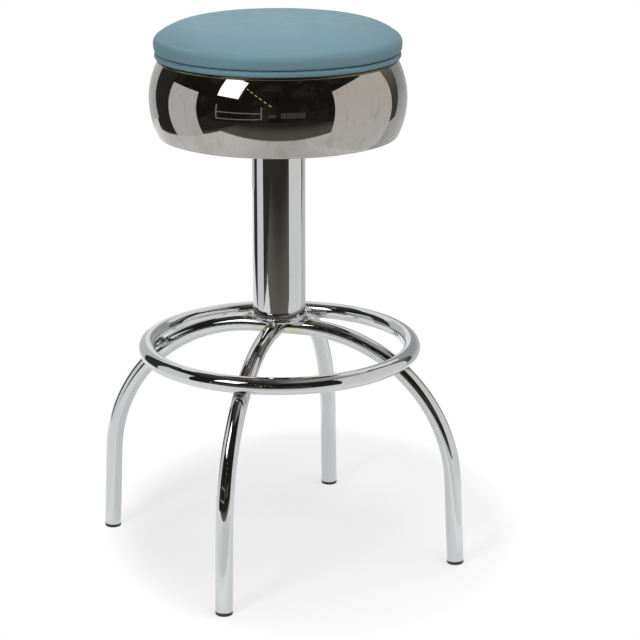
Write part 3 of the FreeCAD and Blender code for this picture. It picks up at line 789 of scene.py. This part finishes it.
class Stage:
    """An emission material for the floor and the cards."""

    def __init__(self, name, world=None):
        owner = world or bpy.data.materials.new(name)
        owner.use_nodes = True
        self.owner, self.tree = owner, owner.node_tree
        self.tree.nodes.clear()
        kind = "ShaderNodeOutputWorld" if world else "ShaderNodeOutputMaterial"
        self.output = self.tree.nodes.new(kind)

    node, feed, math, span, blend = Look.node, Look.feed, Look.math, Look.span, Look.blend

    def seen(self):
        """1 for camera, glossy and transmission rays."""
        rays = self.node("ShaderNodeLightPath").outputs
        seen = self.math("MAXIMUM", rays["Is Camera Ray"], rays["Is Glossy Ray"])
        return self.math("MAXIMUM", seen, rays["Is Transmission Ray"])

    def place(self):
        parts = self.node("ShaderNodeNewGeometry").outputs["Position"]
        return self.node("ShaderNodeSeparateXYZ", {"Vector": parts}).outputs

    def emission(self, colour, strength=1.0):
        made = self.node("ShaderNodeEmission", {"Strength": strength})
        self.feed(made.inputs["Color"], colour if isinstance(colour, bpy.types.NodeSocket) else (*colour, 1))
        return made.outputs["Emission"]

    def surface(self, shader):
        self.tree.links.new(shader, self.output.inputs["Surface"])
        return self.owner


def card_look(name, colour, strength=1.0):
    look = Stage(name)
    return look.surface(look.emission(colour, strength))


def card(name, corners, look):
    return stage_mesh(name, corners, [(0, 1, 2, 3)], look)


def height_look(name, low, high, bottom, top):
    """A card's material whose tone goes from bottom to top between two heights."""
    look = Stage(name)
    tone = look.blend(look.span(look.place()["Z"], low, high), bottom, top)
    return look.surface(look.emission(tone))


def corner_card(name, look, *corners):
    """Card through four corners given in the studio's axes."""
    return card(name, [studio(*corner) for corner in corners], look)


def side_of_axis(look):
    """Distance to the right of the stool's axis, along the studio's x axis."""
    spot = look.place()
    turned_y = look.math("MULTIPLY", spot["Y"], sin(STUDIO_TURN))
    return look.math("MULTIPLY_ADD", spot["X"], cos(STUDIO_TURN), turned_y)


def depth_from_camera(look):
    """Distance behind the stool's axis, along the studio's y axis."""
    spot = look.place()
    turned_x = look.math("MULTIPLY", spot["X"], -sin(STUDIO_TURN))
    return look.math("MULTIPLY_ADD", spot["Y"], cos(STUDIO_TURN), turned_x)


# Floor: plain white outside an ellipse round the stool's feet; inside it a painted shadow, a flat pale grey
# patch, on which the lamps' real soft shadows also show
FLOOR_HALF = 12.0
SHADOW_PLACE, SHADOW_REACH = (0.06, 0.08), (0.35, 0.50)
FADE_START, FADE_END = 0.75, 1.25
floor_look = Stage("pale_floor")
aside = floor_look.math("DIVIDE", floor_look.math("SUBTRACT", side_of_axis(floor_look), SHADOW_PLACE[0]),
                        SHADOW_REACH[0])
behind = floor_look.math("DIVIDE", floor_look.math("SUBTRACT", depth_from_camera(floor_look), SHADOW_PLACE[1]),
                         SHADOW_REACH[1])
away = floor_look.math("SQRT", floor_look.math("ADD", floor_look.math("POWER", aside, 2.0),
                                               floor_look.math("POWER", behind, 2.0)))
far = floor_look.span(away, FADE_START, FADE_END)
# The glow drops to 0.56 inside the ellipse: painted shade, a flat pale grey patch round the feet
glow = floor_look.emission((1.0, 1.0, 1.0), floor_look.span(away, FADE_START, FADE_END, 0.56, 1.0))
pale = floor_look.node("ShaderNodeBsdfDiffuse", {"Color": (0.50, 0.50, 0.50, 1)}).outputs["BSDF"]
near_floor = floor_look.node("ShaderNodeAddShader", {0: glow, 1: pale}).outputs["Shader"]
shown_floor = floor_look.node("ShaderNodeMixShader", {0: far, 1: near_floor,
                                                      2: floor_look.emission((1.0, 1.0, 1.0))})
real_floor = floor_look.node("ShaderNodeBsdfDiffuse", {"Color": (0.78, 0.78, 0.78, 1)}).outputs["BSDF"]
mixed = floor_look.node("ShaderNodeMixShader", {0: floor_look.seen(), 1: real_floor,
                                                2: shown_floor.outputs["Shader"]})
floor_look.surface(mixed.outputs["Shader"])
floor_corners = [(-FLOOR_HALF, -FLOOR_HALF, 0.0), (FLOOR_HALF, -FLOOR_HALF, 0.0),
                 (FLOOR_HALF, FLOOR_HALF, 0.0), (-FLOOR_HALF, FLOOR_HALF, 0.0)]
stage_mesh("floor", floor_corners, [(0, 1, 2, 3)], floor_look.owner, reflected_only=False)

# World: white where it is seen or mirrored, and a mild even light elsewhere
AMBIENT = 0.30
world = bpy.data.worlds.new("studio")
scene.world = world
world_look = Stage("studio", world)
white, mild = [world_look.node("ShaderNodeBackground", {"Color": (1, 1, 1, 1), "Strength": strength})
               .outputs["Background"] for strength in (1.0, AMBIENT)]
either = world_look.node("ShaderNodeMixShader", {0: world_look.seen(), 1: mild, 2: white}).outputs["Shader"]
world_look.surface(either)

# Cards: the dark room in front, pale panels and dark flags at both sides, a softbox, cards behind
ROOM_RADIUS = 3.2
ROOM_TOP = 4.4
LEFT_EDGE, RIGHT_EDGE = -135.0, 130.0


def sector(bearings, inner, outer, look, name):
    """Flat or upright strip along an arc; inner and outer are (distance, height)."""
    points = [at_bearing(b, *inner) for b in bearings] + [at_bearing(b, *outer) for b in bearings]
    count = len(bearings)
    faces = [(i, i + 1, count + i + 1, count + i) for i in range(count - 1)]
    return stage_mesh(name, points, faces, look)


def bearings(first, last, count=60):
    return [first + (last - first) * i / count for i in range(count + 1)]


room = Stage("dark_room")
haze = room.node("ShaderNodeTexNoise", {"Vector": room.node("ShaderNodeNewGeometry").outputs["Position"],
                                        "Scale": 1.1, "Detail": 4.0, "Roughness": 0.6}).outputs["Fac"]
room_tone = room.blend(room.span(haze, 0.45, 0.75), (0.016, 0.0155, 0.013), (0.046, 0.044, 0.037))
room.surface(room.emission(room_tone))
sector(bearings(LEFT_EDGE, RIGHT_EDGE), (ROOM_RADIUS, 0.0), (ROOM_RADIUS, ROOM_TOP), room.owner, "room_wall")


# The pale floor ends at a straight edge in front and at one on the left, with dark floor beyond
cloth = Stage("front_cloth")
depth, side = depth_from_camera(cloth), side_of_axis(cloth)
# The pale floor seen in reflections is darker straight in front of the stool: a painted shadow
middle = cloth.span(cloth.math("ABSOLUTE", cloth.math("SUBTRACT", side, 0.05)), 0.15, 0.60)
pale_tone_painted_shadow = cloth.blend(middle, (0.82, 0.82, 0.81), (1.02, 1.02, 1.01))
beyond = cloth.math("MAXIMUM", cloth.span(depth, -0.98, -1.07), cloth.span(side, -1.235, -1.275))
far_off = cloth.math("MAXIMUM", cloth.span(depth, -1.1, -2.4), cloth.span(side, -1.2, -1.55))
dark_tone = cloth.blend(far_off, (0.160, 0.148, 0.130), (0.038, 0.035, 0.030))
cloth.surface(cloth.emission(cloth.blend(beyond, pale_tone_painted_shadow, dark_tone)))
sector(bearings(LEFT_EDGE, RIGHT_EDGE), (0.46, 0.002), (ROOM_RADIUS, 0.002), cloth.owner, "front_cloth")
sector(bearings(106, 178, 20), (0.80, 0.003), (2.4, 0.003), card_look("grey_floor", (0.66, 0.66, 0.655)),
       "grey_floor")

ceiling = Stage("ceiling")
depth, side = depth_from_camera(ceiling), side_of_axis(ceiling)
front_tone = ceiling.blend(ceiling.span(side, -0.7, 1.3), (0.055, 0.052, 0.047), (0.40, 0.395, 0.385))
behind = ceiling.math("MULTIPLY", ceiling.span(depth, 0.2, 1.9), ceiling.span(side, -1.5, -1.0))
ceiling.surface(ceiling.emission(ceiling.blend(behind, front_tone, (0.95, 0.95, 0.95))))
sector(bearings(-180, 180, 72), (0.02, ROOM_TOP), (ROOM_RADIUS, ROOM_TOP), ceiling.owner, "ceiling_cloth")

corner_card("left_panel", card_look("left_panel", (0.86, 0.865, 0.86)),
            (-1.25, -0.45, 0.003), (-1.25, 0.36, 0.003), (-1.25, 0.32, 1.02), (-1.25, -0.41, 1.07))
corner_card("right_panel", height_look("right_panel", 0.1, 0.8, (0.90, 0.90, 0.90), (0.87, 0.835, 0.785)),
            (0.56, -0.60, 0.003), (0.915, 0.38, 0.003), (0.869, 0.255, 1.17), (0.574, -0.56, 1.01))
corner_card("left_flag", card_look("left_flag", (0.040, 0.040, 0.036)),
            (-1.33, 0.40, 0.003), (-1.09, 0.81, 0.13), (-0.91, 1.12, 1.8), (-1.35, 0.37, 1.8))
corner_card("right_flag", height_look("right_flag", 0.5, 1.5, (0.09, 0.088, 0.08), (0.25, 0.235, 0.19)),
            (1.80, 0.84, 0.0), (1.60, 1.12, 0.15), (1.41, 1.38, 1.82), (1.86, 0.76, 2.1))
grey_look = height_look("grey_card", 0.0, 1.0, (0.62, 0.62, 0.62), (0.42, 0.42, 0.425))
sector(bearings(122, 176, 20), (2.4, 0.0), (2.4, 1.9), grey_look, "grey_card_right")
pale_look = card_look("pale_card", (0.68, 0.68, 0.68))
sector(bearings(-128, -166, 12), (2.4, 0.0), (2.4, 1.9), pale_look, "pale_card_left")

SOFTBOX = ((-1.784, -1.259, 1.405), (-1.256, -1.807, 1.366),
           (-0.896, -1.572, 2.140), (-1.373, -1.006, 2.268))
corner_card("softbox", card_look("softbox", (1.0, 1.0, 0.99), 3.2), *SOFTBOX)

PROP_DISTANCE = 2.9


def bar(name, ends, half, look):
    """Card between two ends, half wide to each side."""
    card(name, [ends[0] - half, ends[1] - half, ends[1] + half, ends[0] + half], look)


# Faint rack in the room, as bars: bearing and height of both ends
rack_look = card_look("rack", (0.34, 0.34, 0.33))
RACK_BARS = [
    ((-54, 0.10), (-54, 0.98)), ((-14, 0.16), (-14, 1.02)),
    ((-54, 0.14), (-14, 0.20)), ((-54, 0.54), (-14, 0.58)),
]
for index, (start, end) in enumerate(RACK_BARS):
    ends = [at_bearing(place[0], PROP_DISTANCE, place[1] + 0.1) for place in (start, end)]
    side = Vector((0, 0, 1)) if abs(start[0] - end[0]) > 1 else at_bearing(start[0] + 90, 1.0, 0.0)
    bar("rack_bar_%d" % index, ends, side * 0.028, rack_look)

# Low benches in the room: first and last bearing, lowest and highest point
bench_look = card_look("bench", (0.090, 0.086, 0.074))
for index, (first, last, low, high) in enumerate([(-8, -2, 0.40, 0.62), (2, 23, 0.36, 0.74)]):
    sector(bearings(first, last, 6), (PROP_DISTANCE, low), (PROP_DISTANCE, high), bench_look,
           "bench_%d" % index)

# Row of small warm lights high in the room: bearing and height of its ends
STRIP_START, STRIP_END, STRIP_DASHES = (-29.7, 2.47), (-3.6, 1.05), 6
strip_look = card_look("strip_light", (2.0, 1.60, 0.50))
for index in range(STRIP_DASHES):
    shares = [(index + part) / STRIP_DASHES for part in (0.0, 0.5)]
    ends = [at_bearing(STRIP_START[0] + (STRIP_END[0] - STRIP_START[0]) * share, PROP_DISTANCE,
                       STRIP_START[1] + (STRIP_END[1] - STRIP_START[1]) * share) for share in shares]
    bar("strip_light_%d" % index, ends, Vector((0, 0, 0.02)), strip_look)


# Lamps: soft and plain, left out of reflections because the cards stand for them there

def lamp(name, place, target, size, watts):
    data = bpy.data.lights.new(name, "AREA")
    data.shape = "SQUARE"
    data.size = size
    data.energy = watts
    made = bpy.data.objects.new(name, data)
    made.location = place
    made.rotation_euler = (Vector(target) - Vector(place)).to_track_quat("-Z", "Y").to_euler()
    made.visible_glossy = False
    scene.collection.objects.link(made)
    return made


AIM = (0.0, 0.0, 0.6)
lamp("overhead", studio(0.6, -0.45, 3.2), AIM, 2.4, 48.0)
lamp("key", studio(-1.12, -1.62, 1.80), AIM, 0.5, 11.0)

scene.view_settings.view_transform = "Standard"
